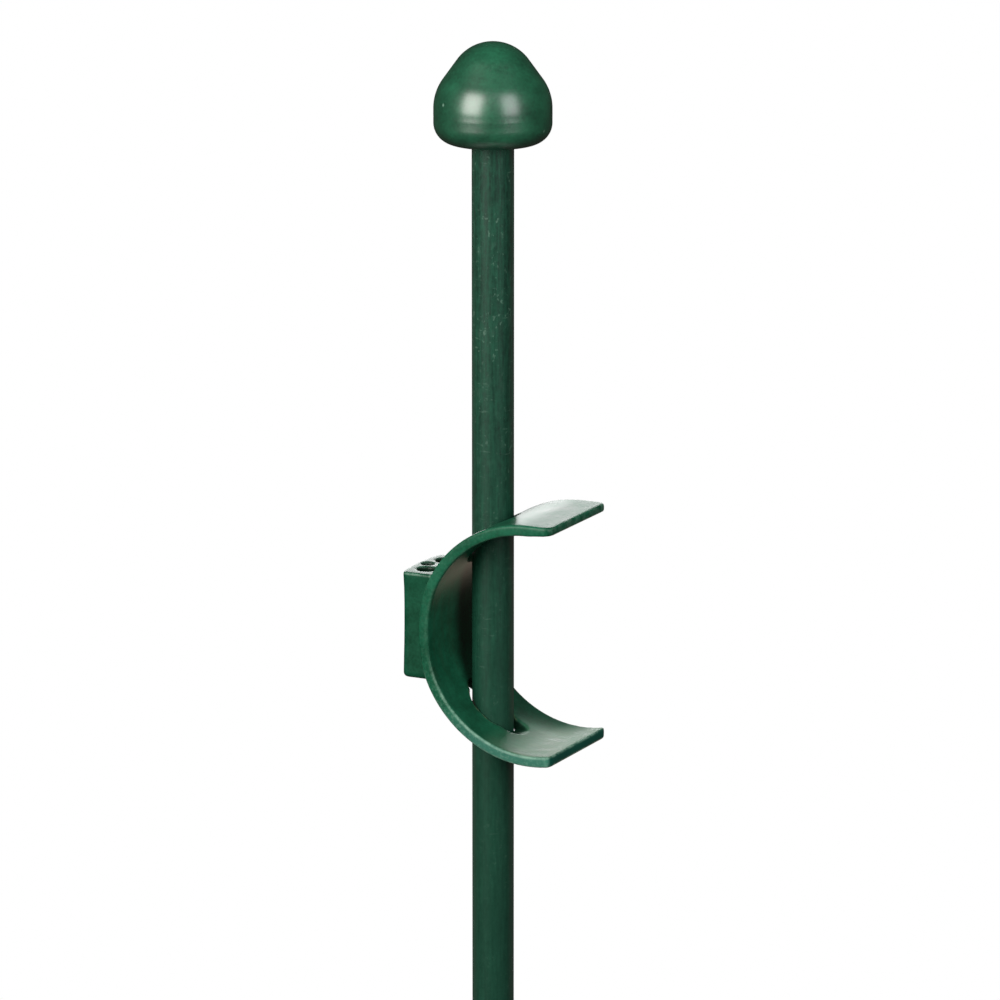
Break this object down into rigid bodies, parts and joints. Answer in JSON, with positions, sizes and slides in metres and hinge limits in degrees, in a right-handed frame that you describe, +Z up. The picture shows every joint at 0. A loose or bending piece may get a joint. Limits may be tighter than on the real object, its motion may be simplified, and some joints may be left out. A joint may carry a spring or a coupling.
{
  "type": "plant stake",
  "caption": "Plastic-coated steel plant stake with a ball cap, a ground point and a sliding squeeze-release spring clip whose back block takes a plant ring's wire ends.",
  "frame": {"origin": "on the stake's axis at the soil line", "axes": "+Z up the stake to the cap, +X the way the clip's finger tabs point, +Y across the clip's band"},
  "size_m": [0.0473, 0.0336, 0.75],
  "materials": {
    "tube_steel": "drawn tube, hidden by the coating",
    "coating": "extruded dark green coating with fine lengthwise streaks",
    "cap_plastic": "moulded dark green plastic, satin to gloss",
    "point_plastic": "moulded dark green plastic",
    "clip_plastic": "moulded dark green plastic, satin, with paler worn edges"
  },
  "bodies": {
    "stake": {"steel_tube": "tube_steel", "plastic_sheath": "coating", "ball_cap": "cap_plastic", "ground_tip": "point_plastic"},
    "clip": {"clip_back": "clip_plastic"},
    "upper_arm": {"clip_upper_arm": "clip_plastic"},
    "lower_arm": {"clip_lower_arm": "clip_plastic"}
  },
  "joints": [
    {"name": "clip_height", "type": "slide", "parent": "stake", "child": "clip", "axis": [0, 0, 1], "range_m": [-0.35, 0.095]},
    {"name": "upper_squeeze", "type": "hinge", "parent": "clip", "child": "upper_arm", "pos_m": [-0.00898, 0, 0.4099], "axis": [0, 1, 0], "range_deg": [0, 6], "stiffness_Nm_per_rad": 4},
    {"name": "lower_squeeze", "type": "hinge", "parent": "clip", "child": "lower_arm", "pos_m": [-0.00894, 0, 0.38085], "axis": [0, -1, 0], "range_deg": [0, 6], "stiffness_Nm_per_rad": 4}
  ],
  "couplings": [
    {"joint": "lower_squeeze", "follows": "upper_squeeze", "ratio": 1}
  ]
}
